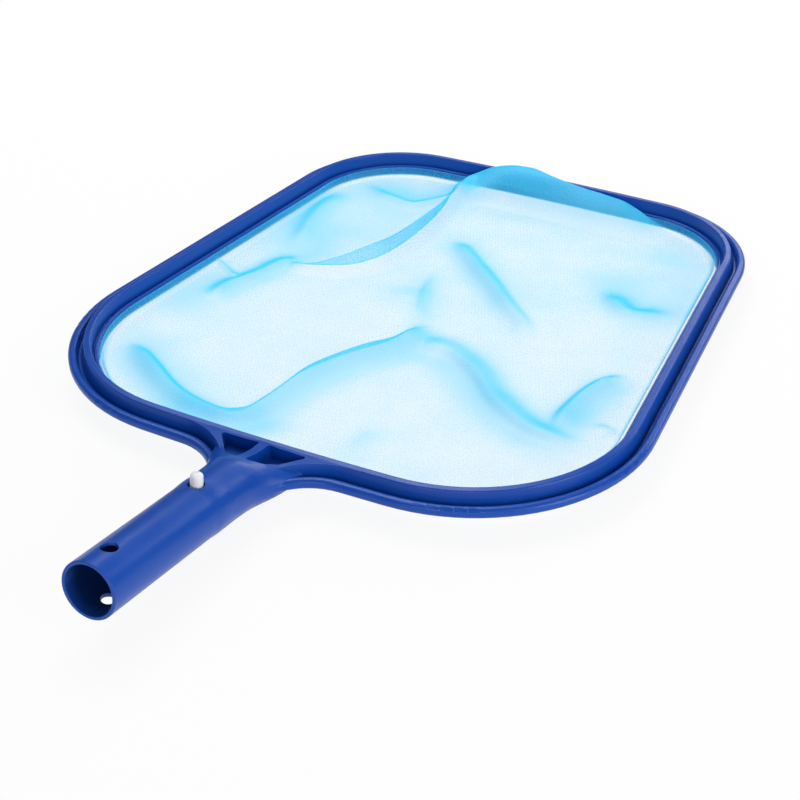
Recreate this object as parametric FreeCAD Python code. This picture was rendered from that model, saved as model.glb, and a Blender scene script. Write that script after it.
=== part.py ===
import FreeCAD, Part
import os
from math import sin, cos, tan, acos, atan2, radians, degrees, sqrt, pi, hypot
from FreeCAD import Vector as V

# Leaf skimmer net: a flat moulded rim with a tubular socket for a pole.
# Millimetres. X across the rim, +Y from the socket's mouth towards the far side
# of the rim, +Z up. A point on the centre plane, on the chord through the two
# near corners of the rim, at the level of the rim bead's lower edge, is where the
# plan below is drawn; the finished parts are moved so that the origin is the
# centre of the socket's mouth.

# ---- rim plan (outer edge) -------------------------------------------------
NEAR_HALF = 174.9      # half width of the chord at the near side
FAR_HALF = 144.3       # half width of the chord at the far side
RIM_LENGTH = 356.5     # chord to chord
NEAR_SAG = 8.15        # outward bow of the near side
FAR_SAG = 5.25         # outward bow of the far side
NEAR_R = 99.8          # near corner radius
FAR_R = 74.8           # far corner radius

# ---- rim section: (distance inward from the outer edge, height, corner radius)
SECTION = [
    (0.0, -1.4, 2.2), (0.0, 3.4, 2.3), (4.75, 3.4, 2.1),      # outer bead
    (5.1, -1.6, 0.7), (7.0, -1.6, 1.0),                        # outer groove
    (9.0, 7.9, 1.1), (12.7, 8.4, 1.0),                         # tall middle ridge
    (13.2, -0.3, 0.4), (14.0, -0.3, 0.3),                      # inner groove
    (14.3, 1.0, 0.45), (16.1, 1.0, 0.8), (16.4, -5.0, 0.5),    # inner lip
    (12.9, -5.0, 0.0), (12.9, -1.0, 0.3), (9.4, -1.0, 0.3), (9.4, -5.0, 0.0),   # channel for the net's edge
    (7.3, -5.0, 0.8), (5.4, -3.6, 1.5),
]
RIM_FLOOR = -5.0
CHANNEL_IN, CHANNEL_OUT, CHANNEL_TOP = 12.9, 9.4, -1.0

# ---- net and spline ---------------------------------------------------------
NET_T = 0.5            # thickness of the net panel as a solid
SPLINE_GAP = 0.5       # between the spline and the channel's outer wall

# ---- handle socket ------------------------------------------------------------
TILT = 7.117           # socket rises towards its mouth
MOUTH_Y, MOUTH_Z = -139.77, 16.63
TUBE_R = 14.2          # slides in a 1-1/4 in pole
BORE_R = 12.4
BORE_DEPTH = 111.0
MOUTH_EDGE = 0.5       # rounding of the mouth's edges
MOUTH_END = -0.55      # the rounded end stands this far beyond the start of the straight wall
HOLE_R = 4.2
MOUTH_HOLE_L = 14.6    # from the mouth, along the socket
BUTTON_L = 80.3

# ---- hub ----------------------------------------------------------------------
HUB_R = 32.0           # concave edge from socket to rim
DECK_U = 6.7           # gusset's side, inward from the hub's edge
DECK_Z = 8.2
DECK_Y = 1.6
CORE = [(5.4, -1.6, 0.0), (7.0, -1.6, 1.0)] + SECTION[5:-1] + [(5.4, -3.6, 0.0)]     # rim section without its outer bead
HUB_EDGE = SECTION[0:3] + [(5.1, -1.62, 0.0), (9.0, -1.62, 0.0), (9.0, -3.6, 0.0), (5.4, -3.6, 0.0)]

# ---- lock spring and buttons ----------------------------------------------------
CLIP_T = 0.8
CLIP_W = 9.0
LEG_R = 11.3           # outer face of a leg, from the socket's axis
HINGE_L = 104.3        # where the legs leave the bow
BOW_CORNER = 6.4
LEG_FREE_L = 74.0      # free end of a leg
BUTTON_R = 3.15
BUTTON_PROUD = 5.6     # above the socket's surface
BUTTON_SHIFT = 0.5     # towards the hub, so that it clears the hole as it swings


def rounded(points):
    """Closed wire in the (u, z) plane from corner points with radii; returns a list of edges
    as (kind, data) in plane coordinates."""
    n = len(points)
    segs = []
    starts, ends = [], []
    arcs = []
    for i in range(n):
        px, py, r = points[i]
        ax, ay, _ = points[i - 1]
        bx, by, _ = points[(i + 1) % n]
        v1 = (ax - px, ay - py)
        v2 = (bx - px, by - py)
        l1, l2 = hypot(*v1), hypot(*v2)
        v1 = (v1[0] / l1, v1[1] / l1)
        v2 = (v2[0] / l2, v2[1] / l2)
        if r <= 0:
            starts.append((px, py)); ends.append((px, py)); arcs.append(None)
            continue
        dot = max(-1.0, min(1.0, v1[0] * v2[0] + v1[1] * v2[1]))
        half = 0.5 * acos(dot)
        d = r / tan(half)
        p1 = (px + v1[0] * d, py + v1[1] * d)
        p2 = (px + v2[0] * d, py + v2[1] * d)
        bis = (v1[0] + v2[0], v1[1] + v2[1])
        bl = hypot(*bis)
        h = r / sin(half)
        c = (px + bis[0] / bl * h, py + bis[1] / bl * h)
        m = (c[0] - bis[0] / bl * r, c[1] - bis[1] / bl * r)
        starts.append(p1); ends.append(p2); arcs.append(m)
    for i in range(n):
        if arcs[i] is not None:
            segs.append(("arc", starts[i], arcs[i], ends[i]))
        a, b = ends[i], starts[(i + 1) % n]
        if hypot(a[0] - b[0], a[1] - b[1]) > 1e-6:
            segs.append(("line", a, b))
    return segs


def profile(segs, place):
    edges = []
    for s in segs:
        if s[0] == "line":
            edges.append(Part.makeLine(place(*s[1]), place(*s[2])))
        else:
            edges.append(Part.Arc(place(*s[1]), place(*s[2]), place(*s[3])).toShape())
    return Part.Wire(edges)


# ---- plan geometry of the rim: tangent arcs that share their centres at every offset
RN = (NEAR_HALF ** 2 + NEAR_SAG ** 2) / (2 * NEAR_SAG)
RF = (FAR_HALF ** 2 + FAR_SAG ** 2) / (2 * FAR_SAG)
CNY = RN - NEAR_SAG
CFY = RIM_LENGTH - (RF - FAR_SAG)
TX, TY = FAR_HALF - NEAR_HALF, RIM_LENGTH
TL = hypot(TX, TY)
TX, TY = TX / TL, TY / TL
NX, NY = -TY, TX                     # inward normal of the right side


def corner(cy, big, r, near_y):
    qx, qy = NEAR_HALF + NX * r, NY * r - cy
    b = 2 * (qx * TX + qy * TY)
    c = qx * qx + qy * qy - (big - r) ** 2
    d = sqrt(b * b - 4 * c)
    best = None
    for s in ((-b + d) / 2, (-b - d) / 2):
        x, y = NEAR_HALF + NX * r + s * TX, NY * r + s * TY
        if best is None or abs(y - near_y) < abs(best[1] - near_y):
            best = (x, y)
    return best


CN = corner(CNY, RN, NEAR_R, NEAR_R)
CF = corner(CFY, RF, FAR_R, RIM_LENGTH - FAR_R)


def unit(x, y):
    l = hypot(x, y)
    return x / l, y / l


DN = unit(CN[0], CN[1] - CNY)        # from the near arc's centre to the corner's centre
DF = unit(CF[0], CF[1] - CFY)
HUB_C = (TUBE_R + HUB_R, CNY - sqrt((RN + HUB_R) ** 2 - (TUBE_R + HUB_R) ** 2))   # centre of the hub's concave edge
DH = unit(HUB_C[0], HUB_C[1] - CNY)  # where that edge leaves the rim


def plan_edges(u):
    """Edges of the rim's outline moved inward by u, anticlockwise from the near side's left end."""
    def p(c, d, r):
        return V(c[0] + d[0] * r, c[1] + d[1] * r, 0)

    def arc(c, r, d0, d1):
        m = unit(d0[0] + d1[0], d0[1] + d1[1])
        return Part.Arc(p(c, d0, r), p(c, m, r), p(c, d1, r)).toShape()
    out = (-NX, -NY)
    ln, lf, lo = (-DN[0], DN[1]), (-DF[0], DF[1]), (NX, -NY)
    cnl, cfl = (-CN[0], CN[1]), (-CF[0], CF[1])
    rn, rf = NEAR_R - u, FAR_R - u
    return [
        arc((0, CNY), RN - u, ln, DN),
        arc(CN, rn, DN, out),
        Part.makeLine(p(CN, out, rn), p(CF, out, rf)),
        arc(CF, rf, out, DF),
        arc((0, CFY), RF - u, DF, lf),
        arc(cfl, rf, lf, lo),
        Part.makeLine(p(cfl, lo, rf), p(cnl, lo, rn)),
        arc(cnl, rn, lo, ln),
    ]


def sweep_arc(segs, c, r, d0, d1):
    """Revolve the section about a vertical axis at c, from direction d0 to d1 (r: radius of the outer edge)."""
    place = lambda u, z: V(c[0] + d0[0] * (r - u), c[1] + d0[1] * (r - u), z)
    ang = degrees(atan2(d0[0] * d1[1] - d0[1] * d1[0], d0[0] * d1[0] + d0[1] * d1[1]))
    return Part.Face(profile(segs, place)).revolve(V(c[0], c[1], 0), V(0, 0, 1), ang)


def mir(d):
    return (-d[0], d[1])


def ring(points, core=None):
    """Ring as tangent pieces: the section carried round the rim's plan. With core, the near side
    between the hub's two edges takes that section instead."""
    segs = rounded(points)
    out = (-NX, -NY)
    pieces = []
    near = (0, CNY)
    if core is None:
        pieces.append(sweep_arc(segs, near, RN, mir(DN), DN))
    else:
        pieces.append(sweep_arc(segs, near, RN, mir(DN), mir(DH)))
        pieces.append(sweep_arc(rounded(core), near, RN, mir(DH), DH))
        pieces.append(sweep_arc(segs, near, RN, DH, DN))
    pieces.append(sweep_arc(segs, CN, NEAR_R, DN, out))
    p0 = (CN[0] + out[0] * NEAR_R, CN[1] + out[1] * NEAR_R)
    p1 = (CF[0] + out[0] * FAR_R, CF[1] + out[1] * FAR_R)
    face = Part.Face(profile(segs, lambda u, z: V(p0[0] + NX * u, p0[1] + NY * u, z)))
    side = face.extrude(V(p1[0] - p0[0], p1[1] - p0[1], 0))
    pieces.append(side)
    pieces.append(sweep_arc(segs, CF, FAR_R, out, DF))
    pieces.append(sweep_arc(segs, (0, CFY), RF, DF, mir(DF)))
    pieces.append(sweep_arc(segs, mir(CF), FAR_R, mir(DF), mir(out)))
    pieces.append(side.mirror(V(0, 0, 0), V(1, 0, 0)))
    pieces.append(sweep_arc(segs, mir(CN), NEAR_R, mir(out), mir(DN)))
    return pieces


# ---- socket axes
T = radians(TILT)
AX = V(0, cos(T), -sin(T))           # from the mouth towards the hub
UP = V(0, sin(T), cos(T))
MOUTH = V(0, MOUTH_Y, MOUTH_Z)


def on_axis(l, r=0.0, x=0.0):
    return MOUTH + AX * l + UP * r + V(x, 0, 0)


def axis_z(y):
    return MOUTH_Z - (y - MOUTH_Y) * tan(T)


def lerp(table, y):
    if y <= table[0][0]:
        return table[0][1]
    for (a, va), (b, vb) in zip(table, table[1:]):
        if y <= b:
            t = (y - a) / (b - a)
            return va + (vb - va) * t
    return table[-1][1]


def flare_wire(l, grow):
    """Round section of the flare, square to the socket, where it leaves the straight tube."""
    pts = []
    for i in range(40):
        a = 2 * pi * i / 40
        pts.append(on_axis(l, (TUBE_R + grow) * sin(a), (TUBE_R + grow) * cos(a)))
    c = Part.BSplineCurve()
    c.interpolate(pts, PeriodicFlag=True)
    return Part.Wire([c.toShape()])


def hub_section(y):
    """Closed outline of the smooth flare that joins the socket to the rim: an ellipse that widens and flattens."""
    rz = TUBE_R / cos(T)
    w = lerp([(-50, TUBE_R + 0.2), (-45, 14.5), (-40, 14.65), (-36, 14.95), (-32, 15.6), (-28, 16.7), (-24, 18.5), (-20, 20.5),
              (-16, 22.4), (-11, 24.3), (-7, 25.4), (1.5, 28.5)], y)
    zm = lerp([(-50, axis_z(-50)), (-36, 3.2), (-24, 1.6), (1.5, 0.6)], y)
    crown = lerp([(-50, axis_z(-50) + rz + 0.25), (-34, axis_z(-34) + rz + 0.15), (-29, axis_z(-29) + rz - 0.35), (-24, 14.7), (-20.5, 13.1),
                  (-16, 11.5), (-11, 10.1), (-6, 9.2), (1.5, 8.2)], y)
    keel = lerp([(-50, axis_z(-50) - rz - 0.25), (-34, axis_z(-34) - rz - 0.1), (-24, -12.0), (-14, -10.6), (-6, -8.0), (1.5, -5.6)], y)
    pts = []
    n = 40
    for i in range(n):
        a = 2 * pi * i / n
        h = crown - zm if sin(a) >= 0 else zm - keel
        pts.append(V(w * cos(a), y, zm + h * sin(a)))
    return pts


def hub_wire(y):
    c = Part.BSplineCurve()
    c.interpolate(hub_section(y), PeriodicFlag=True)
    return Part.Wire([c.toShape()])


def deck(side):
    """Flat-topped gusset between the socket and the rim's ridge. Its drafted outer side follows the hub's edge and
    runs out into the ridge."""
    def wire(u, z, grow, x_end, u_end):
        def at(r, a):
            return HUB_C[0] - r * cos(radians(a)), HUB_C[1] + r * sin(radians(a))

        p = lambda x, y: V(side * x, y, z)
        y0 = -25.0 - grow
        r = HUB_R + u
        b = (HUB_C[0] - sqrt(r * r - (y0 - HUB_C[1]) ** 2), y0)
        m = at(r + 0.3, 45.0)
        c = (x_end, CNY - sqrt(RN * RN - x_end * x_end) + u_end)
        return Part.Wire([Part.makeLine(p(-1.0, y0), p(*b)), Part.Arc(p(*b), p(*m), p(*c)).toShape(), Part.makeLine(p(*c), p(x_end + 1.5, DECK_Y)),
                          Part.makeLine(p(x_end + 1.5, DECK_Y), p(-1.0, DECK_Y)), Part.makeLine(p(-1.0, DECK_Y), p(-1.0, y0))])
    return Part.makeLoft([wire(DECK_U, DECK_Z, 0.0, 51.5, 8.8), wire(DECK_U - 0.7, -3.0, 2.0, 53.0, 7.6)], True, True)


# ---- frame ------------------------------------------------------------------------
rim = ring(SECTION, CORE)
flare = Part.makeLoft([flare_wire(74.0, 0.02), flare_wire(79.0, 0.15), flare_wire(84.0, 0.4)] +
                      [hub_wire(y) for y in (-50, -43, -36, -29, -22, -16, -11, -6, 1.5)], True, False)


def round_tube(l0, l1, r, edge, outward):
    """Solid of revolution about the socket's axis, its edge at l0 rounded (an outside edge) or flared (a bore)."""
    q = lambda l, x: V(x, l, 0)
    k = 0.29289322 * edge
    if outward:
        segs = [Part.makeLine(q(l0, 0), q(l0, r - edge)), Part.Arc(q(l0, r - edge), q(l0 + k, r - k), q(l0 + edge, r)).toShape(),
                Part.makeLine(q(l0 + edge, r), q(l1, r)), Part.makeLine(q(l1, r), q(l1, 0)), Part.makeLine(q(l1, 0), q(l0, 0))]
    else:
        segs = [Part.makeLine(q(l0 - 5, 0), q(l0 - 5, r + edge)), Part.makeLine(q(l0 - 5, r + edge), q(l0, r + edge)),
                Part.Arc(q(l0, r + edge), q(l0 + k, r + k), q(l0 + edge, r)).toShape(),
                Part.makeLine(q(l0 + edge, r), q(l1, r)), Part.makeLine(q(l1, r), q(l1, 0)), Part.makeLine(q(l1, 0), q(l0 - 5, 0))]
    s = Part.Face(Part.Wire(segs)).revolve(V(0, 0, 0), V(0, 1, 0), 360)
    s = Part.Solid(s) if s.ShapeType == "Shell" else s
    if s.Volume < 0:
        s.reverse()
    s.rotate(V(0, 0, 0), V(1, 0, 0), -TILT)
    s.translate(MOUTH)
    return s


tube = round_tube(MOUTH_END, 82.0, TUBE_R, MOUTH_EDGE, True)      # ends inside the flare
edges_seg = rounded(HUB_EDGE)
hub_edges = []
for side in (1, -1):
    c = (side * HUB_C[0], HUB_C[1])
    d0 = (-side * DH[0], -DH[1])
    d1 = (-side * cos(radians(9.0)), sin(radians(9.0)))
    place = lambda u, z: V(c[0] + d0[0] * (HUB_R + u), c[1] + d0[1] * (HUB_R + u), z)
    ang = degrees(atan2(d0[0] * d1[1] - d0[1] * d1[0], d0[0] * d1[0] + d0[1] * d1[1]))
    hub_edges.append(Part.Face(profile(edges_seg, place)).revolve(V(c[0], c[1], 0), V(0, 0, 1), ang))
decks = [deck(1), deck(-1)]

hub = tube.fuse(flare).fuse(decks[0]).fuse(decks[1]).multiFuse(hub_edges)
body = rim[0].multiFuse(rim[1:]).fuse(hub)

# pockets between the V ribs
def pocket(side):
    pts = [(2.4, -0.2), (25.4, -0.2), (17.6, -9.8), (11.0, -18.0), (2.4, -22.6)]
    n = len(pts)
    segs = rounded([(x, y, 1.4) for x, y in pts])
    w = profile(segs, lambda u, z: V(side * u, z, 0.6))
    return Part.Face(w).extrude(V(0, 0, 30))


body = body.cut(pocket(1)).cut(pocket(-1))

bore = round_tube(MOUTH_END, BORE_DEPTH, BORE_R, MOUTH_EDGE, False)
holes = [Part.makeCylinder(HOLE_R, 60, on_axis(l, -30), UP) for l in (MOUTH_HOLE_L, BUTTON_L)]
body = body.cut(bore.multiFuse(holes))


parts = {"frame": body}

# ---- net: flat panel, its edge turned up into the channel beside the spline
z0 = RIM_FLOOR
net_rim = ring([(CHANNEL_IN - NET_T, z0 - NET_T, 0), (CHANNEL_IN - NET_T, CHANNEL_TOP - 0.6, 0), (CHANNEL_IN, CHANNEL_TOP - 0.6, 0),
                (CHANNEL_IN, z0, 0), (CHANNEL_IN + 3.0, z0, 0), (CHANNEL_IN + 3.0, z0 - NET_T, 0)])
inner = Part.Face(Part.Wire(plan_edges(CHANNEL_IN + 2.0)))
inner.translate(V(0, 0, z0 - NET_T))
sheet = inner.extrude(V(0, 0, NET_T))
net = net_rim[0].multiFuse(net_rim[1:] + [sheet]).removeSplitter()
parts["net"] = net

# ---- spline that presses the net's edge into the channel
sp = ring([(CHANNEL_OUT + SPLINE_GAP, z0, 0.3), (CHANNEL_OUT + SPLINE_GAP, CHANNEL_TOP - 0.8, 0.6), (CHANNEL_IN - NET_T, CHANNEL_TOP - 0.8, 0.6),
           (CHANNEL_IN - NET_T, z0, 0.3)])
parts["net_spline"] = sp[0].multiFuse(sp[1:]).removeSplitter()


# ---- lock spring: bow and two legs
def strip(points, width=CLIP_W, close=True):
    w = Part.makePolygon([V(-width / 2, q.y, q.z) for q in points + [points[0]]])
    return Part.Face(w).extrude(V(width, 0, 0))


ri = LEG_R - CLIP_T


def bow():
    out_r, in_r = BOW_CORNER, BOW_CORNER - CLIP_T
    segs = []
    c = [(HINGE_L, LEG_R - out_r), (HINGE_L, -(LEG_R - out_r))]
    q = lambda l, r: on_axis(l, r, -CLIP_W / 2)
    e = HINGE_L + out_r
    k = 0.70710678
    edges = [
        Part.Arc(q(HINGE_L, LEG_R), q(c[0][0] + out_r * k, c[0][1] + out_r * k), q(e, c[0][1])).toShape(),
        Part.makeLine(q(e, c[0][1]), q(e, c[1][1])),
        Part.Arc(q(e, c[1][1]), q(c[1][0] + out_r * k, c[1][1] - out_r * k), q(HINGE_L, -LEG_R)).toShape(),
        Part.makeLine(q(HINGE_L, -LEG_R), q(HINGE_L, -ri)),
        Part.Arc(q(HINGE_L, -ri), q(c[1][0] + in_r * k, c[1][1] - in_r * k), q(e - CLIP_T, c[1][1])).toShape(),
        Part.makeLine(q(e - CLIP_T, c[1][1]), q(e - CLIP_T, c[0][1])),
        Part.Arc(q(e - CLIP_T, c[0][1]), q(c[0][0] + in_r * k, c[0][1] + in_r * k), q(HINGE_L, ri)).toShape(),
        Part.makeLine(q(HINGE_L, ri), q(HINGE_L, LEG_R)),
    ]
    return Part.Face(Part.Wire(edges)).extrude(V(CLIP_W, 0, 0))


parts["clip_bow"] = bow()


def leg(side):
    """Flat leg with a rounded free end and a hole for the button's shank."""
    l0, l1 = LEG_FREE_L, HINGE_L - 0.12
    r0 = side * LEG_R if side < 0 else ri
    h = CLIP_W / 2
    q = lambda l, x: on_axis(l, r0, x)
    wire = Part.Wire([
        Part.makeLine(q(l1, -h), q(l0 + h, -h)),
        Part.Arc(q(l0 + h, -h), q(l0, 0), q(l0 + h, h)).toShape(),
        Part.makeLine(q(l0 + h, h), q(l1, h)),
        Part.makeLine(q(l1, h), q(l1, -h)),
    ])
    s = Part.Face(wire).extrude(UP * CLIP_T)
    hole = Part.makeCylinder(1.6, 40, on_axis(BUTTON_L + BUTTON_SHIFT), UP * side)
    return s.cut(hole)


def button(side):
    """Domed head outside the leg, shank through it, riveted collar inside."""
    top = TUBE_R + BUTTON_PROUD
    base = LEG_R
    dome = 2.1
    q = lambda x, r: V(x, 0, r)
    edges = [
        Part.makeLine(q(0, ri - 0.7), q(2.6, ri - 0.7)),
        Part.makeLine(q(2.6, ri - 0.7), q(2.6, ri)),
        Part.makeLine(q(2.6, ri), q(1.6, ri)),
        Part.makeLine(q(1.6, ri), q(1.6, base)),
        Part.makeLine(q(1.6, base), q(BUTTON_R, base)),
        Part.makeLine(q(BUTTON_R, base), q(BUTTON_R, top - dome)),
        Part.Arc(q(BUTTON_R, top - dome), q(BUTTON_R - 0.62, top - 0.62), q(BUTTON_R - 2.1, top)).toShape(),
        Part.makeLine(q(BUTTON_R - 2.1, top), q(0, top)),
        Part.makeLine(q(0, top), q(0, ri - 0.7)),
    ]
    s = Part.Face(Part.Wire(edges)).revolve(V(0, 0, 0), V(0, 0, 1), 360)
    if side < 0:
        s.rotate(V(0, 0, 0), V(1, 0, 0), 180)
    s.rotate(V(0, 0, 0), V(1, 0, 0), -TILT)
    s.translate(on_axis(BUTTON_L + BUTTON_SHIFT))
    return s


parts["clip_upper_leg"] = leg(1)
parts["clip_lower_leg"] = leg(-1)
parts["upper_button"] = button(1)
parts["lower_button"] = button(-1)

os.makedirs("parts", exist_ok=True)
for name in sorted(parts):
    s = parts[name]
    if s.ShapeType == "Compound" and len(s.Solids) == 1:
        s = s.Solids[0]
    s = s.copy()
    s.translate(MOUTH * -1)
    print(name, s.ShapeType, "solids", len(s.Solids), "valid", s.isValid(), "volume %.1f" % s.Volume,
          "box", [round(v, 2) for v in (s.BoundBox.XMin, s.BoundBox.YMin, s.BoundBox.ZMin, s.BoundBox.XMax, s.BoundBox.YMax, s.BoundBox.ZMax)])
    s.exportStep("parts/%s.step" % name)
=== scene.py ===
import bpy
import math
import numpy as np
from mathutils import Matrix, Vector


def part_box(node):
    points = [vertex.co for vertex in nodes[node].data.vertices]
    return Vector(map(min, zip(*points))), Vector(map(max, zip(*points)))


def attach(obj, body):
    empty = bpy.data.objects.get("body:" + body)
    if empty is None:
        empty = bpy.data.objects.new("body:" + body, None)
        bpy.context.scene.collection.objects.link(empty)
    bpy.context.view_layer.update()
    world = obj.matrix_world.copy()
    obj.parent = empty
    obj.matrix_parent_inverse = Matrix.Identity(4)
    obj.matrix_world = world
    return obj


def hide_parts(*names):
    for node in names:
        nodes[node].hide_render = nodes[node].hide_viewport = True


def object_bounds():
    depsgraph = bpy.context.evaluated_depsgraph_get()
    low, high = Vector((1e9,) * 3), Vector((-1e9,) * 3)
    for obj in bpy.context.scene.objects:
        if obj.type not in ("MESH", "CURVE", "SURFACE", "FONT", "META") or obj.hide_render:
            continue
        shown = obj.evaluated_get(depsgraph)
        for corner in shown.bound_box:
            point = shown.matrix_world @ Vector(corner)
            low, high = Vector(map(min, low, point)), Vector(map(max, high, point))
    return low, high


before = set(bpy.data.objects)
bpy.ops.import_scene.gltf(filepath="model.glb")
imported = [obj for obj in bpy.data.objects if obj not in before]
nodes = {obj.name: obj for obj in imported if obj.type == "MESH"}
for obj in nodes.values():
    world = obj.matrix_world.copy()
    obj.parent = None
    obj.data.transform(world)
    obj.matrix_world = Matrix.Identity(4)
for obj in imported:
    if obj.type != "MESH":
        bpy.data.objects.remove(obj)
lo0, hi0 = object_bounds()
MM = 0.001

# ---------------------------------------------------------------- node helpers


class Tree:
    """A small helper for building a material's node tree."""

    def __init__(self, name):
        self.mat = bpy.data.materials.new(name)
        self.mat.use_nodes = True
        self.t = self.mat.node_tree
        self.t.nodes.clear()
        self.out = self.t.nodes.new("ShaderNodeOutputMaterial")

    def node(self, kind, **props):
        n = self.t.nodes.new(kind)
        for k, v in props.items():
            setattr(n, k, v)
        return n

    def put(self, sock, value):
        if isinstance(value, bpy.types.NodeSocket):
            self.t.links.new(value, sock)
        else:
            sock.default_value = value

    def math(self, op, a, b=0.0, c=None, clamp=False):
        n = self.node("ShaderNodeMath", operation=op, use_clamp=clamp)
        self.put(n.inputs[0], a)
        self.put(n.inputs[1], b)
        if c is not None:
            self.put(n.inputs[2], c)
        return n.outputs[0]

    def noise(self, vec, scale, detail=3.0, rough=0.5, distortion=0.0):
        n = self.node("ShaderNodeTexNoise")
        self.put(n.inputs["Vector"], vec)
        n.inputs["Scale"].default_value = scale
        n.inputs["Detail"].default_value = detail
        n.inputs["Roughness"].default_value = rough
        n.inputs["Distortion"].default_value = distortion
        return n.outputs["Fac"]

    def remap(self, v, a, b, c, d, smooth=False):
        n = self.node("ShaderNodeMapRange")
        if smooth:
            n.interpolation_type = "SMOOTHSTEP"
        self.put(n.inputs[0], v)
        for i, x in enumerate((a, b, c, d)):
            n.inputs[i + 1].default_value = x
        return n.outputs[0]

    def mix(self, fac, a, b):
        n = self.node("ShaderNodeMix", data_type="RGBA")
        self.put(n.inputs[0], fac)
        for s, v in ((n.inputs[6], a), (n.inputs[7], b)):
            self.put(s, v if isinstance(v, bpy.types.NodeSocket) else (*v, 1.0))
        return n.outputs[2]

    def bump(self, height, dist, strength=1.0, normal=None):
        n = self.node("ShaderNodeBump")
        n.inputs["Strength"].default_value = strength
        n.inputs["Distance"].default_value = dist
        self.put(n.inputs["Height"], height)
        if normal is not None:
            self.put(n.inputs["Normal"], normal)
        return n.outputs[0]

    def coords(self):
        return self.node("ShaderNodeTexCoord").outputs["Object"]


def plastic(name, base, dark, rough=(0.285, 0.36), edge=(0.06, 0.19, 0.55), wear_and_highlight=0.5, spec=0.5, grain=0.00004, coat=0.0, stain_and_bore_shade=False):
    """Moulded thermoplastic: slight flow mottling, fine grain, handling scuffs, edges worn lighter by rubbing with a
    painted highlight along them, and optional painted shade inside the socket's bore.
    """
    t = Tree(name)
    p = t.coords()
    flow = t.noise(p, 14.0, 4.0, 0.55, 0.6)
    mottle = t.noise(p, 90.0, 3.0, 0.6)
    fine = t.noise(p, 2600.0, 2.0, 0.5)
    # scuffs: stretched noise, only in places
    m = t.node("ShaderNodeMapping")
    m.inputs["Scale"].default_value = (1.0, 0.05, 1.0)
    m.inputs["Rotation"].default_value = (0.0, 0.0, 0.35)
    t.put(m.inputs["Vector"], p)
    streak = t.noise(m.outputs[0], 2400.0, 4.0, 0.6, 0.0)
    where = t.remap(t.noise(p, 30.0, 3.0, 0.6), 0.50, 0.70, 0.0, 1.0, True)
    scuff = t.math("MULTIPLY", t.remap(streak, 0.52, 0.78, 0.0, 1.0, True), where)
    # edges lightened towards the edge colour: partly rubbing, partly a painted highlight along the edges
    bev = t.node("ShaderNodeBevel")
    bev.samples = 4
    bev.inputs["Radius"].default_value = 0.0006
    geo = t.node("ShaderNodeNewGeometry")
    dot = t.node("ShaderNodeVectorMath", operation="DOT_PRODUCT")
    t.put(dot.inputs[0], bev.outputs[0])
    t.put(dot.inputs[1], geo.outputs["Normal"])
    rubbed_and_highlit = t.remap(dot.outputs["Value"], 0.985, 0.90, 0.0, 1.0, True)
    rubbed_and_highlit = t.math("MULTIPLY", rubbed_and_highlit, t.remap(mottle, 0.35, 0.65, 0.3, 1.0))
    rubbed_and_highlit = t.math("MULTIPLY", rubbed_and_highlit, wear_and_highlight)
    col = t.mix(t.remap(flow, 0.3, 0.7, 0.0, 1.0), base, dark)
    col = t.mix(t.math("MULTIPLY", scuff, 0.16), col, edge)
    # painted highlight: edges blended towards the lighter edge colour, partly for rubbing and partly standing in for
    # edge highlights
    col = t.mix(rubbed_and_highlit, col, edge)
    if stain_and_bore_shade:
        # painted shade: the socket's inside is blended towards near-black to stand in for the shade deep in the bore;
        # the mask is the distance from the socket's axis, inside its wall, growing from the mouth inwards
        ax = (0.0, math.cos(math.radians(7.117)), -math.sin(math.radians(7.117)))
        d1 = t.node("ShaderNodeVectorMath", operation="DOT_PRODUCT")
        t.put(d1.inputs[0], p)
        d1.inputs[1].default_value = ax
        sc_ = t.node("ShaderNodeVectorMath", operation="SCALE")
        sc_.inputs[0].default_value = ax
        t.put(sc_.inputs["Scale"], d1.outputs["Value"])
        off = t.node("ShaderNodeVectorMath", operation="SUBTRACT")
        t.put(off.inputs[0], p)
        t.put(off.inputs[1], sc_.outputs[0])
        ln = t.node("ShaderNodeVectorMath", operation="LENGTH")
        t.put(ln.inputs[0], off.outputs[0])
        painted_bore_shade = t.remap(ln.outputs["Value"], 0.0129, 0.0125, 0.0, 1.0, True)
        painted_bore_shade = t.math("MULTIPLY", painted_bore_shade, t.remap(d1.outputs["Value"], -0.0003, 0.010, 0.45, 1.0, True))
        painted_bore_shade = t.math("MULTIPLY", painted_bore_shade, t.remap(d1.outputs["Value"], 0.113, 0.112, 0.0, 1.0))
        painted_bore_shade = t.math("MULTIPLY", painted_bore_shade, t.remap(mottle, 0.3, 0.7, 0.58, 0.78))
        # painted shade colour for the inside of the socket's bore
        col = t.mix(painted_bore_shade, col, (0.0030, 0.0080, 0.0300))
    r = t.remap(mottle, 0.3, 0.7, rough[0], rough[1])
    r = t.math("ADD", r, t.math("MULTIPLY", scuff, 0.05))
    n1 = t.bump(fine, grain, 0.5)
    n2 = t.bump(mottle, grain * 6, 0.35, n1)
    n3 = t.bump(streak, grain * 0.25, 0.15, n2)
    b = t.node("ShaderNodeBsdfPrincipled")
    t.put(b.inputs["Base Color"], col)
    t.put(b.inputs["Roughness"], r)
    t.put(b.inputs["Normal"], n3)
    b.inputs["IOR"].default_value = 1.49
    b.inputs["Specular IOR Level"].default_value = spec
    b.inputs["Coat Weight"].default_value = coat
    b.inputs["Coat Roughness"].default_value = 0.12
    t.t.links.new(b.outputs[0], t.out.inputs["Surface"])
    return t.mat


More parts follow.
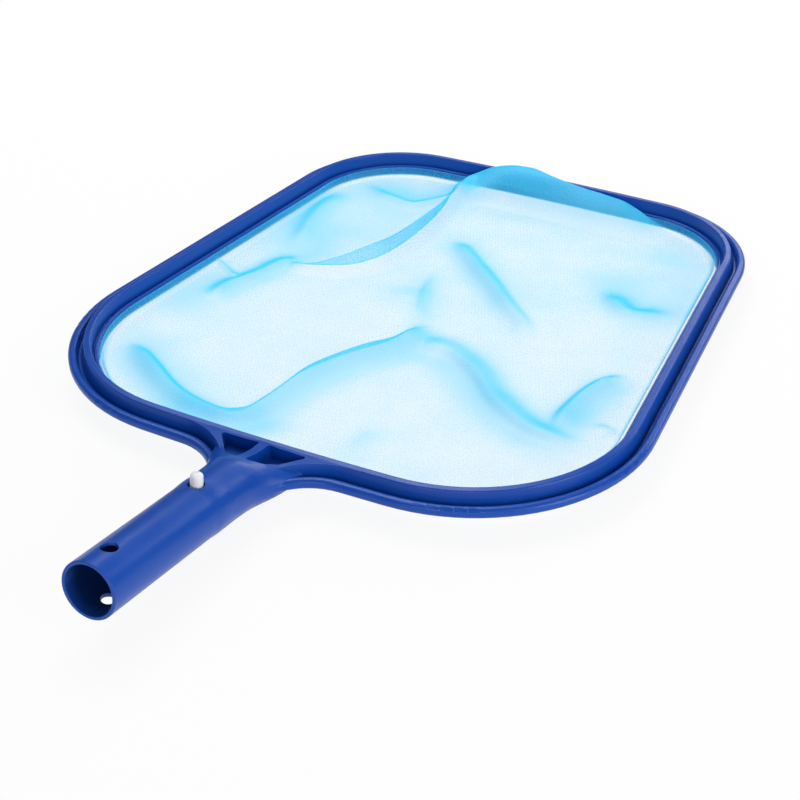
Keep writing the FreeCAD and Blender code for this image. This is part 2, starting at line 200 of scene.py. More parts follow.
def steel(name):
    """Rolled spring strip: long grain, small pits and a little staining."""
    t = Tree(name)
    p = t.coords()
    m = t.node("ShaderNodeMapping")
    m.inputs["Scale"].default_value = (1.0, 0.04, 1.0)
    t.put(m.inputs["Vector"], p)
    grain = t.noise(m.outputs[0], 5200.0, 4.0, 0.6)
    stain_and_bore_shade = t.noise(p, 160.0, 4.0, 0.6)
    b = t.node("ShaderNodeBsdfPrincipled")
    t.put(b.inputs["Base Color"], t.mix(t.remap(stain_and_bore_shade, 0.45, 0.75, 0.0, 0.6), (0.56, 0.57, 0.59), (0.33, 0.31, 0.28)))
    b.inputs["Metallic"].default_value = 1.0
    t.put(b.inputs["Roughness"], t.remap(grain, 0.3, 0.7, 0.29, 0.46))
    t.put(b.inputs["Normal"], t.bump(grain, 0.00002, 0.6))
    t.t.links.new(b.outputs[0], t.out.inputs["Surface"])
    return t.mat


NET_COLOR = (0.055, 0.63, 0.96)


def mesh_fabric(name):
    """Open nylon weave. Each layer hides more of what is behind it the more obliquely it is seen, and
    gathered cloth hides more than flat cloth."""
    t = Tree(name)
    gather = t.node("ShaderNodeAttribute", attribute_name="gather").outputs["Fac"]
    uv = t.node("ShaderNodeAttribute", attribute_name="weave").outputs["Vector"]
    sep = t.node("ShaderNodeSeparateXYZ")
    t.put(sep.inputs[0], uv)
    k = 2 * math.pi / 0.82          # one thread every 0.82 mm
    sx = t.math("SINE", t.math("MULTIPLY", sep.outputs[0], k))
    sy = t.math("SINE", t.math("MULTIPLY", sep.outputs[1], k))
    weave = t.math("MULTIPLY", t.math("ADD", t.math("ADD", sx, sy), 2.0), 0.25)
    slub = t.noise(uv, 0.9, 3.0, 0.6)
    wash = t.noise(uv, 0.035, 3.0, 0.55)
    geo = t.node("ShaderNodeNewGeometry")
    dot = t.node("ShaderNodeVectorMath", operation="DOT_PRODUCT")
    t.put(dot.inputs[0], geo.outputs["Normal"])
    t.put(dot.inputs[1], geo.outputs["Incoming"])
    cosv = t.math("MAXIMUM", t.math("ABSOLUTE", dot.outputs["Value"]), 0.09)
    power = t.math("DIVIDE", 1.0, cosv)
    cover = t.math("ADD", gather, t.math("MULTIPLY", t.math("SUBTRACT", weave, 0.5), 0.16))
    cover = t.math("ADD", cover, t.math("MULTIPLY", t.math("SUBTRACT", slub, 0.5), 0.26))
    ribs = t.math("MULTIPLY", t.math("SINE", t.math("MULTIPLY", sep.outputs[0], k / 3.0)), t.math("SINE", t.math("MULTIPLY", sep.outputs[1], k / 4.0)))
    cover = t.math("ADD", cover, t.math("MULTIPLY", ribs, 0.022))
    cover = t.math("ADD", cover, t.math("MULTIPLY", t.math("SUBTRACT", wash, 0.5), 0.14))
    cover = t.math("MINIMUM", t.math("MAXIMUM", cover, 0.02), 0.9)
    through = t.math("POWER", t.math("SUBTRACT", 1.0, cover), power)
    alpha = t.math("SUBTRACT", 1.0, through, clamp=True)
    col = t.mix(t.remap(slub, 0.35, 0.65, 0.0, 1.0), NET_COLOR, (0.080, 0.68, 0.97))
    dif = t.node("ShaderNodeBsdfDiffuse")
    t.put(dif.inputs["Color"], col)
    nrm = t.bump(weave, 0.00015, 0.6)
    t.put(dif.inputs["Normal"], nrm)
    tr = t.node("ShaderNodeBsdfTranslucent")
    t.put(tr.inputs["Color"], col)
    gl = t.node("ShaderNodeBsdfGlossy")
    gl.inputs["Roughness"].default_value = 0.35
    gl.inputs["Color"].default_value = (0.8, 0.9, 1.0, 1.0)
    t.put(gl.inputs["Normal"], nrm)
    m1 = t.node("ShaderNodeMixShader")
    m1.inputs[0].default_value = 0.55
    t.t.links.new(dif.outputs[0], m1.inputs[1])
    t.t.links.new(tr.outputs[0], m1.inputs[2])
    m2 = t.node("ShaderNodeMixShader")
    m2.inputs[0].default_value = 0.03
    t.t.links.new(m1.outputs[0], m2.inputs[1])
    t.t.links.new(gl.outputs[0], m2.inputs[2])
    clear = t.node("ShaderNodeBsdfTransparent")
    m3 = t.node("ShaderNodeMixShader")
    t.put(m3.inputs[0], alpha)
    t.t.links.new(clear.outputs[0], m3.inputs[1])
    t.t.links.new(m2.outputs[0], m3.inputs[2])
    t.t.links.new(m3.outputs[0], t.out.inputs["Surface"])
    return t.mat


BLUE = (0.0024, 0.0560, 0.3400)
BLUE2 = (0.0018, 0.0480, 0.3050)
mats = {
    # the frame's socket gets painted shade inside its bore
    "frame": plastic("frame_plastic", BLUE, BLUE2, spec=0.32, stain_and_bore_shade=True),
    "net_spline": plastic("spline_plastic", (0.003, 0.058, 0.33), (0.002, 0.046, 0.28), (0.42, 0.55), wear_and_highlight=0.1),
    "upper_button": plastic("button_nylon", (0.74, 0.75, 0.77), (0.66, 0.67, 0.69), (0.29, 0.38), (0.85, 0.85, 0.86), 0.2),
    "clip_bow": steel("spring_steel"),
}
mats["lower_button"] = mats["upper_button"]
mats["clip_upper_leg"] = mats["clip_lower_leg"] = mats["clip_bow"]


def smooth_shading(o, angle=32.0):
    """Joined, smooth-shaded surfaces that keep their real edges."""
    me = o.data
    me.polygons.foreach_set("use_smooth", np.ones(len(me.polygons), bool))
    ng = bpy.data.node_groups.get("edge_split_smooth")
    w = o.modifiers.new("weld", "WELD")
    w.merge_threshold = 1e-6
    if ng is None:
        ng = bpy.data.node_groups.new("edge_split_smooth", "GeometryNodeTree")
        ng.interface.new_socket("Geometry", in_out="INPUT", socket_type="NodeSocketGeometry")
        ng.interface.new_socket("Geometry", in_out="OUTPUT", socket_type="NodeSocketGeometry")
        gi = ng.nodes.new("NodeGroupInput")
        go = ng.nodes.new("NodeGroupOutput")
        ea = ng.nodes.new("GeometryNodeInputMeshEdgeAngle")
        cmp = ng.nodes.new("FunctionNodeCompare")
        cmp.data_type = "FLOAT"
        cmp.operation = "LESS_THAN"
        cmp.inputs[1].default_value = math.radians(angle)
        ng.links.new(ea.outputs["Unsigned Angle"], cmp.inputs[0])
        s1 = ng.nodes.new("GeometryNodeSetShadeSmooth")
        s1.domain = "EDGE"
        s2 = ng.nodes.new("GeometryNodeSetShadeSmooth")
        s2.domain = "FACE"
        s2.inputs["Shade Smooth"].default_value = True
        ng.links.new(gi.outputs[0], s2.inputs["Geometry"])
        ng.links.new(s2.outputs["Geometry"], s1.inputs["Geometry"])
        ng.links.new(cmp.outputs[0], s1.inputs["Shade Smooth"])
        ng.links.new(s1.outputs["Geometry"], go.inputs[0])
    g = o.modifiers.new("smooth", "NODES")
    g.node_group = ng
    wn = o.modifiers.new("weighted", "WEIGHTED_NORMAL")
    wn.keep_sharp = True
    wn.weight = 60


for n, o in nodes.items():
    if n == "net":
        continue
    o.data.materials.clear()
    o.data.materials.append(mats[n])
    smooth_shading(o)

# ---------------------------------------------------------------- net: plan of the rim
# millimetres, in the plan of the rim (chord of the near side at y = 0, rim bead's lower edge at z = 0)
NEAR_HALF, FAR_HALF, RIM_LENGTH = 174.9, 144.3, 356.5
NEAR_SAG, FAR_SAG, NEAR_R, FAR_R = 8.15, 5.25, 99.8, 74.8
RN = (NEAR_HALF ** 2 + NEAR_SAG ** 2) / (2 * NEAR_SAG)
RF = (FAR_HALF ** 2 + FAR_SAG ** 2) / (2 * FAR_SAG)
CNY, CFY = RN - NEAR_SAG, RIM_LENGTH - (RF - FAR_SAG)
TX, TY = FAR_HALF - NEAR_HALF, RIM_LENGTH
TL = math.hypot(TX, TY)
TX, TY = TX / TL, TY / TL
NX, NY = -TY, TX


def corner(cy, big, r, near_y):
    qx, qy = NEAR_HALF + NX * r, NY * r - cy
    b = 2 * (qx * TX + qy * TY)
    c = qx * qx + qy * qy - (big - r) ** 2
    d = math.sqrt(b * b - 4 * c)
    cands = [(NEAR_HALF + NX * r + s * TX, NY * r + s * TY) for s in ((-b + d) / 2, (-b - d) / 2)]
    return min(cands, key=lambda q: abs(q[1] - near_y))


CN, CF = corner(CNY, RN, NEAR_R, NEAR_R), corner(CFY, RF, FAR_R, RIM_LENGTH - FAR_R)


def quadrant_tables(u_ref):
    """Outer-edge points and inward normals for the near, right, far and left sides, each from the middle of one
    corner to the middle of the next, with running length measured at offset u_ref."""
    a_n = math.atan2(CN[1] - CNY, CN[0])          # direction from near centre to corner centre
    a_out = math.atan2(-NY, -NX)
    a_f = math.atan2(CF[1] - CFY, CF[0])
    mid_n, mid_f = (a_n + a_out) / 2, (a_out + a_f) / 2

    def arc(c, r, a0, a1, n):
        a = np.linspace(a0, a1, n)
        d = np.stack([np.cos(a), np.sin(a)], 1)
        return np.array(c) + d * r, -d

    def flip(pn):
        p, n = pn
        p, n = p[::-1].copy(), n[::-1].copy()
        p[:, 0] *= -1
        n[:, 0] *= -1
        return p, n

    def join(parts):
        return np.concatenate([p for p, _ in parts]), np.concatenate([n for _, n in parts])
    half_n_lo = arc(CN, NEAR_R, a_n, mid_n, 200)            # near side -> corner middle
    half_n_hi = arc(CN, NEAR_R, mid_n, a_out, 200)
    half_f_lo = arc(CF, FAR_R, a_out, mid_f, 200)
    half_f_hi = arc(CF, FAR_R, mid_f, a_f, 200)
    near = arc((0, CNY), RN, -math.pi - a_n, a_n, 600)
    far = arc((0, CFY), RF, a_f, math.pi - a_f, 600)
    p1 = np.array(CN) + np.array([-NX, -NY]) * NEAR_R
    p2 = np.array(CF) + np.array([-NX, -NY]) * FAR_R
    tt = np.linspace(0, 1, 600)[:, None]
    side = (p1 + (p2 - p1) * tt, np.tile([[NX, NY]], (600, 1)))
    q_near = join([flip(half_n_lo), near, half_n_lo])
    q_right = join([half_n_hi, side, half_f_lo])
    q_far = join([half_f_hi, far, flip(half_f_hi)])
    q_left = join([flip(half_f_lo), flip(side), flip(half_n_hi)])
    out = []
    for p, n in (q_near, q_right, q_far, q_left):
        r = p + n * u_ref
        s = np.concatenate([[0], np.cumsum(np.linalg.norm(np.diff(r, axis=0), axis=1))])
        keep = np.concatenate([[True], np.diff(s) > 1e-9])
        out.append((p[keep], n[keep], s[keep]))
    return out


N = 380        # cells along each side of the sheet
U_SHEET = 22.0                        # where the edge strip ends and the sheet begins
tables = quadrant_tables(U_SHEET)
base_pts, base_nrm = [], []
for p, n, s in tables:
    q = np.linspace(0, s[-1], N + 1)[:-1]
    base_pts.append(np.stack([np.interp(q, s, p[:, i]) for i in (0, 1)], 1))
    nn = np.stack([np.interp(q, s, n[:, i]) for i in (0, 1)], 1)
    base_nrm.append(nn / np.linalg.norm(nn, axis=1)[:, None])
B = np.concatenate(base_pts)           # 4N stations round the outer edge
BN = np.concatenate(base_nrm)
S4 = 4 * N

# rows of the edge strip, from the channel round the lip's lower edge, up the inner wall and back down to the sheet
ROWS = [(12.65, -2.3), (12.65, -3.6), (12.66, -4.8), (12.8, -5.3), (13.4, -5.5), (14.8, -5.5), (16.1, -5.5), (16.62, -5.35), (16.85, -4.9),
        (16.86, -3.9), (16.84, -2.8), (16.82, -1.7), (16.80, -0.8), (16.86, -0.2), (17.05, 0.1), (17.3, 0.05), (17.55, -0.25), (17.8, -0.7),
        (18.05, -1.2), (18.35, -1.8), (18.65, -2.4), (19.0, -3.0), (19.45, -3.6), (20.0, -4.15), (20.6, -4.6), (21.3, -4.95)]
WALL_TOP = 14                          # index of the row on top of the wall

# square sheet: grid (a, b) in [-1, 1]; ring m = max(|a|, |b|) scaled from the outline at U_SHEET
g = np.arange(N + 1)
A_, B_ = np.meshgrid(g, g, indexing="ij")       # A_: along x, B_: along y
a = 2.0 * A_ / N - 1
b = 2.0 * B_ / N - 1
m = np.maximum(np.abs(a), np.abs(b))
mm = np.where(m < 1e-9, 1, m)
sa, sb = a / mm, b / mm
station = np.where(
    (np.abs(b) >= np.abs(a)) & (b < 0), (sa + 1) / 2 * N,
    np.where((np.abs(a) >= np.abs(b)) & (a > 0), N + (sb + 1) / 2 * N,
             np.where((np.abs(b) >= np.abs(a)) & (b > 0), 2 * N + (1 - sa) / 2 * N, 3 * N + (1 - sb) / 2 * N)))
RING = B + BN * U_SHEET
RINGX = np.concatenate([RING, RING[:1]])
CENTRE = np.array([0.0, 178.0])
sx = np.interp(station.ravel() % S4, np.arange(S4 + 1), RINGX[:, 0])
sy = np.interp(station.ravel() % S4, np.arange(S4 + 1), RINGX[:, 1])
mr = m.ravel()[:, None]
sheet_xy = CENTRE + (np.stack([sx, sy], 1) - CENTRE) * mr
n_sheet = len(sheet_xy)

strip_xy, strip_z = [], []
for u, z in ROWS:
    strip_xy.append(B + BN * u)
    strip_z.append(np.full(S4, z))
strip_xy = np.concatenate(strip_xy)
strip_z = np.concatenate(strip_z)
XY = np.concatenate([sheet_xy, strip_xy])
Z = np.concatenate([np.full(n_sheet, -5.2), strip_z])
on_cloth = np.concatenate([np.ones(n_sheet, bool), np.repeat(np.arange(len(ROWS)) >= WALL_TOP, S4)])

# inward distance from the outer edge for every vertex (nearest of the stations, coarse is enough)


def edge_distance(xy):
    """Offset from the rim's outer edge, and the running station, by the closest station."""
    d = np.empty(len(xy))
    k = np.empty(len(xy), int)
    st = B[::4]
    nr = BN[::4]
    for i in range(0, len(xy), 4096):
        q = xy[i:i + 4096]
        dd = ((q[:, None, :] - st[None]) ** 2).sum(2)
        j = dd.argmin(1)
        k[i:i + 4096] = j * 4
        d[i:i + 4096] = ((q - st[j]) * nr[j]).sum(1)
    return d, k


U, K = edge_distance(XY)
weave_uv = XY.copy()

# ---------------------------------------------------------------- net: slack, wrinkles and standing folds
rng = np.random.default_rng(11)


def waves(xy, count, lmin, lmax):
    h = np.zeros(len(xy))
    for _ in range(count):
        l = rng.uniform(lmin, lmax)
        th = rng.uniform(0, math.pi)
        ph = rng.uniform(0, 2 * math.pi)
        h += np.sin(2 * math.pi * (xy[:, 0] * math.cos(th) + xy[:, 1] * math.sin(th)) / l + ph)
    return h / math.sqrt(count)


def smooth(x):
    x = np.clip(x, 0, 1)
    return x * x * (3 - 2 * x)


inner = smooth((U - 22.0) / 30.0)
dz = np.zeros(len(XY))
dxy = np.zeros((len(XY), 2))
gather = np.full(len(XY), 0.150)
sag = inner * (-1.2 + 0.9 * waves(XY, 7, 90, 220) + 0.22 * waves(XY, 9, 24, 60))
dz += sag


def spline_curve(pts, step=1.2):
    """Smooth curve through points (x, y, extra...), resampled evenly."""
    p = np.array(pts, float)
    seg = np.linalg.norm(np.diff(p[:, :2], axis=0), axis=1)
    t = np.concatenate([[0], np.cumsum(seg)])
    q = np.arange(0, t[-1], step)
    out = []
    n = len(p)
    for c in range(p.shape[1]):
        # Catmull-Rom on uneven knots through Hermite tangents
        m_ = np.gradient(p[:, c], t) if n > 2 else np.full(n, (p[-1, c] - p[0, c]) / max(t[-1], 1e-9))
        k = np.clip(np.searchsorted(t, q, side="right") - 1, 0, n - 2)
        h = t[k + 1] - t[k]
        x = (q - t[k]) / h
        out.append((2 * x ** 3 - 3 * x ** 2 + 1) * p[k, c] + (x ** 3 - 2 * x ** 2 + x) * h * m_[k]
                   + (-2 * x ** 3 + 3 * x ** 2) * p[k + 1, c] + (x ** 3 - x ** 2) * h * m_[k + 1])
    return np.stack(out, 1)


def fold(pts, width, height, lean=0.0, skew=1.0, dense=0.0, taper=0.18, free_end=(True, True), wdense=None, dside=(1.0, 1.0)):
    """A ridge along a curve of the sheet. pts are (x, y[, scale]) in mm in the part's own frame. lean pushes the ridge's
    top towards the curve's left, skew makes its left side that much wider than its right. dside widens the gathered band
    on the left and on the right of the curve."""
    p = [(q[0], q[1] - OFF_Y, q[2] if len(q) > 2 else 1.0) for q in pts]
    c = spline_curve(p)
    s = np.linspace(0, 1, len(c))
    scale = c[:, 2].copy()
    if free_end[0]:
        scale *= smooth(s / taper)
    if free_end[1]:
        scale *= smooth((1 - s) / taper)
    tan = np.gradient(c[:, :2], axis=0)
    tan /= np.linalg.norm(tan, axis=1)[:, None]
    left = np.stack([-tan[:, 1], tan[:, 0]], 1)
    reach = max(3.2 * width * max(skew, 1.0) + abs(lean), 2.6 * (wdense or 0.0) * max(dside))
    lo, hi = c[:, :2].min(0) - reach, c[:, :2].max(0) + reach
    sel = np.where(((XY > lo) & (XY < hi)).all(1) & on_cloth)[0]
    for i in range(0, len(sel), 6000):
        k = sel[i:i + 6000]
        d = XY[k][:, None, :] - c[None, :, :2]
        dd = (d ** 2).sum(2)
        j = dd.argmin(1)
        r = np.arange(len(k))
        side = (d[r, j] * left[j]).sum(1)
        along = (d[r, j] * tan[j]).sum(1)
        # beyond the ends the distance counts in full
        dist = np.sqrt(side ** 2 + along ** 2)
        sgn = np.where(side >= 0, 1.0, -1.0)
        w = np.where(sgn > 0, width * skew, width)
        gg = np.exp(-(dist / w) ** 2) * scale[j]
        near = smooth((U[k] - 17.3) / 3.0)
        dz[k] += height * gg * near
        dxy[k] += left[j] * (lean * gg * near)[:, None]
        wd = (wdense or width * 1.1) * np.where(sgn > 0, dside[0], dside[1])
        gather[k] += dense * np.exp(-(dist / wd) ** 2) * scale[j]


net_lo, net_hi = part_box("net")
OFF_Y = 139.77                         # from the plan's origin to the part's
OFF_Z = -16.63

def wash(pts, width, dense, taper=0.25):
    """Cloth gathered a little closer along a soft band."""
    c = spline_curve([(q[0], q[1] - OFF_Y, q[2] if len(q) > 2 else 1.0) for q in pts], 3.0)
    e = np.linspace(0, 1, len(c))
    scale = c[:, 2] * smooth(e / taper) * smooth((1 - e) / taper)
    sel = np.where(((XY > c[:, :2].min(0) - 3 * width) & (XY < c[:, :2].max(0) + 3 * width)).all(1) & on_cloth)[0]
    for i in range(0, len(sel), 8000):
        k = sel[i:i + 8000]
        dd = ((XY[k][:, None, :] - c[None, :, :2]) ** 2).sum(2)
        gather[k] += dense * (np.exp(-dd / width ** 2) * scale).max(1)


# long wrinkle from the left side into the standing fold
fold([(-121, 270), (-121, 290), (-116, 302), (-112, 314), (-110, 325), (-105, 336), (-98, 341)], 4.6, 3.4, lean=-1.6, dense=0.30, wdense=6.0, dside=(1.3, 1.6))
fold([(-142, 313), (-132, 307), (-120, 300)], 2.4, 2.2, lean=-1.0, dense=0.12, wdense=3.0)
fold([(-107, 345), (-113, 366), (-120, 400), (-121, 425), (-119, 435)], 9.0, 4.5, skew=0.8, dense=0.08, taper=0.3)
# standing fold that climbs to the far rim
fold([(-106, 334, 0.15), (-93, 330, 0.22), (-83, 332, 0.35), (-72, 336, 0.60), (-62, 343, 0.82), (-54, 356, 0.97), (-49, 372, 1.0),
      (-46, 392, 1.0), (-45, 412, 0.95), (-46, 432, 0.84), (-48, 448, 0.70), (-50, 462, 0.48), (-54, 480, 0.12)],
     4.4, 15.5, lean=2.0, dense=0.13, taper=0.06, free_end=(True, False), wdense=8.0)
# wrinkle behind it
fold([(-117, 453), (-106, 446), (-95, 440), (-84, 437), (-73, 437), (-64, 446), (-54, 458), (-42, 463), (-30, 468), (-15, 474)], 5.0, 4.2, lean=1.0, dense=0.24, taper=0.3, wdense=6.5, dside=(2.0, 1.0))
# long wrinkle across the near half
fold([(-137, 207, 0.3), (-125, 202, 0.6), (-106, 190, 0.9), (-89, 179, 0.9), (-74, 172, 0.9), (-57, 168, 0.9), (-42, 167, 1.0), (-33, 174, 1.0),
      (-28, 189, 1.0), (-25, 208, 1.0), (-22, 223, 1.15), (-15, 242, 1.2), (-6, 257, 1.25), (2, 272, 1.2), (6, 287, 1.1), (6, 299, 0.9), (6, 309, 0.5)],
     5.6, 5.6, lean=2.4, dense=0.36, taper=0.10, wdense=6.0, dside=(1.0, 1.7))
fold([(5, 298), (2, 308), (-5, 319), (-11, 334), (-16, 350), (-20, 368)], 3.2, 1.2, lean=0.6, dense=0.16, taper=0.4, wdense=4.0)
# steep crease in the middle
fold([(-34, 404, 0.4), (-22, 400, 0.7), (-10, 389, 0.95), (1, 378), (22, 358), (41, 338), (58, 323, 0.8), (70, 310, 0.5)], 4.4, 4.8, skew=1.6, lean=1.2, dense=0.27, taper=0.16, wdense=5.0, dside=(1.0, 1.5))
# crease along the right half
fold([(5, 276, 0.5), (14, 283, 0.8), (28, 285, 0.8), (43, 278, 0.9), (59, 265, 1.0), (74, 250, 1.0), (93, 236, 1.0), (108, 230, 1.0), (120, 230, 0.9), (132, 238, 0.8)],
     5.0, 4.8, skew=1.8, lean=-1.2, dense=0.32, taper=0.14, wdense=6.0, dside=(2.0, 1.2))
fold([(119, 233), (114, 248), (114, 264), (116, 279), (121, 294), (129, 306)], 5.0, 4.4, lean=1.2, dense=0.30, taper=0.25, wdense=6.0, dside=(1.0, 1.8))
fold([(77, 394, 0.3), (83, 386, 0.6), (91, 377), (101, 369), (110, 368), (119, 374), (128, 382, 0.8)], 5.0, 3.8, skew=1.5, lean=0.6, dense=0.30, taper=0.35, wdense=6.0, dside=(1.8, 1.0))
fold([(128, 246), (133, 249), (140, 247), (143, 236)], 3.6, 1.5, dense=0.12, taper=0.35)
fold([(35, 167), (32, 181), (32, 196)], 5.5, 1.0, dense=0.06, taper=0.45)
fold([(-4, 300), (-20, 320), (-24, 345)], 12.0, 2.4, dense=0.03, taper=0.4)
fold([(85, 330), (60, 345), (48, 372), (40, 398)], 12.0, 2.6, dense=0.03, taper=0.4)

# broad gathered bands beside the wrinkles
wash([(-140, 216), (-124, 208), (-105, 195), (-88, 184), (-71, 175), (-54, 168), (-38, 168)], 17.0, 0.19)
wash([(-80, 170), (-60, 163), (-41, 163), (-25, 170), (-14, 190)], 13.0, 0.20)
wash([(-38, 172), (-25, 186), (-17, 205), (-12, 223), (-5, 243), (4, 260), (10, 276), (8, 300)], 10.0, 0.07)
wash([(6, 296), (-3, 316), (-11, 336), (-20, 362), (-24, 376)], 11.0, 0.12, 0.35)
wash([(7, 272), (24, 273), (40, 266), (57, 254), (74, 239), (92, 227), (109, 223), (130, 233)], 13.0, 0.18)
wash([(130, 300), (124, 290), (120, 276), (119, 262), (118, 247), (122, 232)], 13.0, 0.15)
wash([(-38, 414), (-26, 406), (-8, 392), (8, 376), (24, 360), (44, 340)], 14.0, 0.13)
wash([(74, 400), (89, 388), (101, 378), (114, 376), (128, 384)], 15.0, 0.18)
wash([(76, 384), (84, 408), (103, 396), (116, 380)], 18.0, 0.07)
wash([(84, 466), (105, 446), (123, 422), (133, 398), (138, 365)], 24.0, 0.11)
wash([(-132, 252), (-129, 272), (-125, 290), (-116, 302)], 15.0, 0.18)
wash([(-116, 296), (-110, 328), (-100, 336), (-84, 330)], 11.0, 0.15)
wash([(-104, 340), (-113, 370), (-122, 398), (-128, 421), (-128, 442)], 18.0, 0.24)
wash([(-120, 458), (-96, 452), (-76, 452), (-60, 466), (-40, 474)], 17.0, 0.20)
wash([(-92, 350), (-86, 390), (-80, 420), (-72, 450)], 26.0, 0.10)
wash([(34, 160), (32, 181), (32, 200)], 10.0, 0.08)
wash([(-146, 225), (-153, 260), (-154, 300), (-146, 350), (-138, 400), (-128, 440)], 15.0, 0.14)
wash([(-30, 470), (0, 474), (30, 474), (60, 470)], 18.0, 0.12)
wash([(-66, 470), (-56, 476), (-40, 480), (-20, 482), (2, 482)], 6.5, 0.22)

# ---- standing loop over the far side of the rim
CREST = np.array([  # x, height of the crest above the sheet, lean over the rim
    (-66, 0.0, 0.0), (-60, 0.8, 0.6), (-56, 2.2, 1.2), (-52, 6.0, 2.5), (-48, 10.0, 3.8), (-40, 14.5, 5.5), (-33, 16.9, 6.5), (-23, 19.2, 7.2),
    (-9, 19.8, 7.5), (4, 16.6, 7.4), (20, 13.9, 7.1), (41, 12.3, 6.6), (55, 11.2, 5.8), (67, 7.4, 4.4), (75, 3.8, 2.8), (85, 1.3, 1.2), (93, 0.0, 0.0)])
far = (XY[:, 1] > 250) & on_cloth & (U < 60)
gx = np.arange(-110, 130, 0.5)
kern = np.exp(-(np.arange(-24, 25) * 0.5 / 3.2) ** 2)
kern /= kern.sum()
soft_h, soft_l = (np.convolve(np.interp(gx, CREST[:, 0], CREST[:, c]), kern, "same") for c in (1, 2))
H = np.interp(XY[:, 0], gx, soft_h) * far
LN = np.interp(XY[:, 0], gx, soft_l) * far
v = U - 17.05
rise = smooth(v / 4.4)
fall = 1 - smooth((v - 5.0) / 21.0)
gl = rise * fall
dz += H * gl
norm = BN[K]
dxy += -norm * (LN * gl)[:, None]
gather += np.where(far, 0.31 * smooth(H / 8.0) * (1 - smooth((v - 4.0) / 16.0)) * smooth((v + 1) / 2), 0.0)

gather += np.where(far, 0.22 * smooth(H / 6.0) * smooth((v - 3.0) / 3.0) * (1 - smooth((v - 10.0) / 20.0)), 0.0)

# fabric lies a little denser where it is bunched on the inner wall
gather += np.where(U < 21.5, 0.10 * (1 - smooth((U - 18.0) / 4.0)), 0.0)
# and is stretched thin along the right side, where it is pulled straight into the channel
gather *= np.where((XY[:, 0] > 60) & (XY[:, 1] < 300) & (U < 18.6), 0.30, 1.0)

P = np.zeros((len(XY), 3))
P[:, :2] = XY + dxy
P[:, 2] = Z + dz
P[:, 2] = np.maximum(P[:, 2], -12.6)
P[:, 1] += OFF_Y
P[:, 2] += OFF_Z
P *= MM

# faces
idx = np.arange((N + 1) ** 2).reshape(N + 1, N + 1)
f1 = np.stack([idx[:-1, :-1], idx[1:, :-1], idx[1:, 1:], idx[:-1, 1:]], -1).reshape(-1, 4)
border = np.concatenate([idx[:-1, 0], idx[-1, :-1], idx[:0:-1, -1], idx[0, :0:-1]])       # near, right, far, left
rows = [n_sheet + r * S4 + np.arange(S4) for r in range(len(ROWS))] + [border]
f2 = []
for r0, r1 in zip(rows[:-1], rows[1:]):
    f2.append(np.stack([r0, np.roll(r0, -1), np.roll(r1, -1), r1], -1))
F = np.concatenate([f1] + f2)


def make_mesh(name, verts, faces):
    me = bpy.data.meshes.new(name)
    me.vertices.add(len(verts))
    me.vertices.foreach_set("co", verts.astype(np.float32).ravel())
    me.loops.add(faces.size)
    me.loops.foreach_set("vertex_index", faces.astype(np.int32).ravel())
    me.polygons.add(len(faces))
    k = faces.shape[1]
    me.polygons.foreach_set("loop_start", np.arange(0, faces.size, k, dtype=np.int32))
    me.polygons.foreach_set("use_smooth", np.ones(len(faces), bool))
    me.update(calc_edges=True)
    me.validate()
    o = bpy.data.objects.new(name, me)
    bpy.context.scene.collection.objects.link(o)
    return o


net = make_mesh("net_fabric", P, F)
at = net.data.attributes.new("gather", "FLOAT", "POINT")
at.data.foreach_set("value", gather.astype(np.float32))
th = math.radians(12.0)
rot = np.array([[math.cos(th), -math.sin(th)], [math.sin(th), math.cos(th)]])
wv = np.zeros((len(XY), 3), np.float32)
wv[:, :2] = weave_uv @ rot.T
wv[:, 2] = np.where(on_cloth, 0, Z)
at = net.data.attributes.new("weave", "FLOAT_VECTOR", "POINT")
at.data.foreach_set("vector", wv.ravel())
net.data.materials.append(mesh_fabric("net_mesh"))
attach(net, "skimmer")
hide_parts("net")

# ---------------------------------------------------------------- floor, light, camera
sc = bpy.context.scene
floor_z = lo0.z - 0.0006
me = bpy.data.meshes.new("floor")
me.from_pydata([(-9, -9, floor_z), (9, -9, floor_z), (9, 9, floor_z), (-9, 9, floor_z)], [], [(0, 1, 2, 3)])
floor = bpy.data.objects.new("floor", me)
sc.collection.objects.link(floor)
t = Tree("floor_pale")
d = t.node("ShaderNodeBsdfDiffuse")
d.inputs["Color"].default_value = (0.07, 0.07, 0.07, 1)
e = t.node("ShaderNodeEmission")
e.inputs["Color"].default_value = (1, 1, 1, 1)
flp = t.node("ShaderNodeLightPath")
t.put(e.inputs["Strength"], t.remap(flp.outputs["Is Glossy Ray"], 0.0, 1.0, 0.905, 0.85))
ad = t.node("ShaderNodeAddShader")
t.t.links.new(d.outputs[0], ad.inputs[0])
t.t.links.new(e.outputs[0], ad.inputs[1])
t.t.links.new(ad.outputs[0], t.out.inputs["Surface"])
floor.data.materials.append(t.mat)

world = bpy.data.worlds.new("studio")
sc.world = world
world.use_nodes = True
wt = world.node_tree
wt.nodes.clear()
wo = wt.nodes.new("ShaderNodeOutputWorld")
bg = wt.nodes.new("ShaderNodeBackground")
bgc = wt.nodes.new("ShaderNodeBackground")
bgc.inputs[0].default_value = (1, 1, 1, 1)
bgc.inputs[1].default_value = 1.0
lp = wt.nodes.new("ShaderNodeLightPath")
mx = wt.nodes.new("ShaderNodeMixShader")
tc = wt.nodes.new("ShaderNodeTexCoord")
sp = wt.nodes.new("ShaderNodeSeparateXYZ")
mr_ = wt.nodes.new("ShaderNodeMapRange")
mr_.inputs[1].default_value = -0.1
mr_.inputs[2].default_value = 1.0
mr_.inputs[3].default_value = 0.30
mr_.inputs[4].default_value = 0.62
dim = wt.nodes.new("ShaderNodeMapRange")        # reflections see a darker room than the diffuse light
dim.inputs[3].default_value = 1.0
dim.inputs[4].default_value = 0.28
wt.links.new(lp.outputs["Is Glossy Ray"], dim.inputs[0])
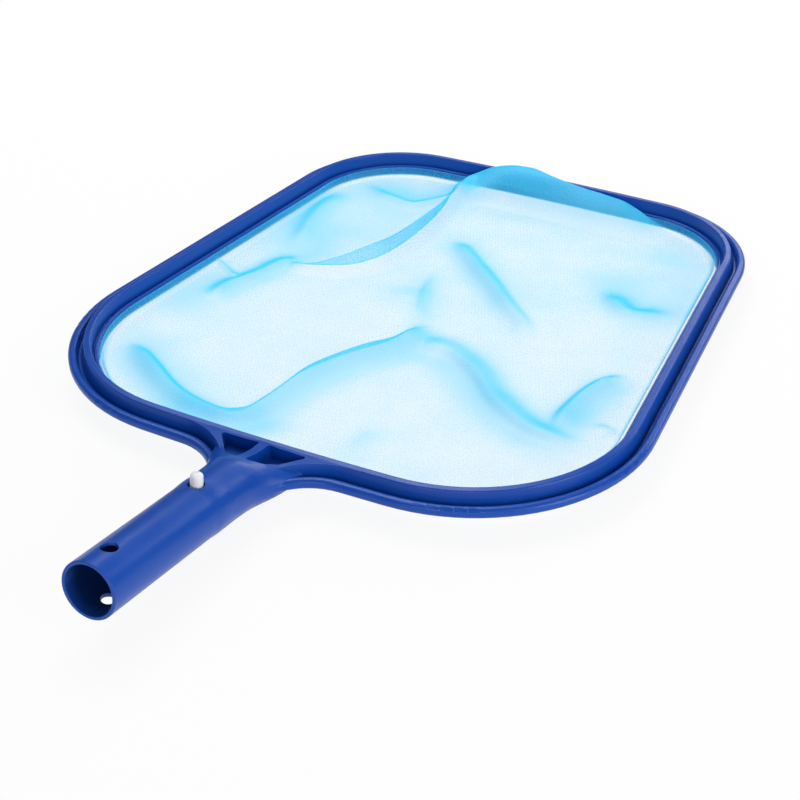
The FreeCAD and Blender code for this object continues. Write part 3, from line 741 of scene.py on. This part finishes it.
mul = wt.nodes.new("ShaderNodeMath")
mul.operation = "MULTIPLY"
wt.links.new(mr_.outputs[0], mul.inputs[0])
wt.links.new(dim.outputs[0], mul.inputs[1])
wt.links.new(tc.outputs["Generated"], sp.inputs[0])
wt.links.new(sp.outputs[2], mr_.inputs[0])
wt.links.new(mul.outputs[0], bg.inputs[1])
wt.links.new(lp.outputs["Is Camera Ray"], mx.inputs[0])
wt.links.new(bg.outputs[0], mx.inputs[1])
wt.links.new(bgc.outputs[0], mx.inputs[2])
wt.links.new(mx.outputs[0], wo.inputs[0])


def area(name, loc, target, size, power, color=(1, 1, 1)):
    l = bpy.data.lights.new(name, "AREA")
    l.shape = "RECTANGLE"
    l.size, l.size_y = size
    l.energy = power
    l.color = color
    o = bpy.data.objects.new(name, l)
    o.location = loc
    o.rotation_mode = "QUATERNION"
    o.rotation_quaternion = (Vector(target) - Vector(loc)).to_track_quat("-Z", "Y")
    sc.collection.objects.link(o)
    return o


C = (0.0, 0.25, 0.0)
area("key", (-0.55, 0.75, 1.35), C, (1.1, 0.8), 16.0)
area("fill", (1.35, -0.05, 0.42), C, (0.7, 0.9), 11.0)
area("front", (0.45, -1.15, 0.40), C, (1.1, 0.5), 6.0)
area("rimlight", (0.2, 1.6, 0.55), C, (1.6, 0.35), 7.0)

cam = bpy.data.cameras.new("camera")
co = bpy.data.objects.new("camera", cam)
sc.collection.objects.link(co)
az, el, dist = math.radians(27.8375), math.radians(32.4091), 0.8403
target = Vector((0.03403, 0.21772, -0.01663))
back = Vector((math.sin(az) * math.cos(el), -math.cos(az) * math.cos(el), math.sin(el)))
co.location = target + back * dist
co.rotation_mode = "QUATERNION"
co.rotation_quaternion = (-back).to_track_quat("-Z", "Y")
cam.lens = 72.54
cam.sensor_width = 36.0
cam.clip_start, cam.clip_end = 0.01, 50
sc.camera = co
sc.view_settings.view_transform = "Standard"
sc.view_settings.look = "None"
sc.cycles.transparent_max_bounces = 32
sc.cycles.max_bounces = 8
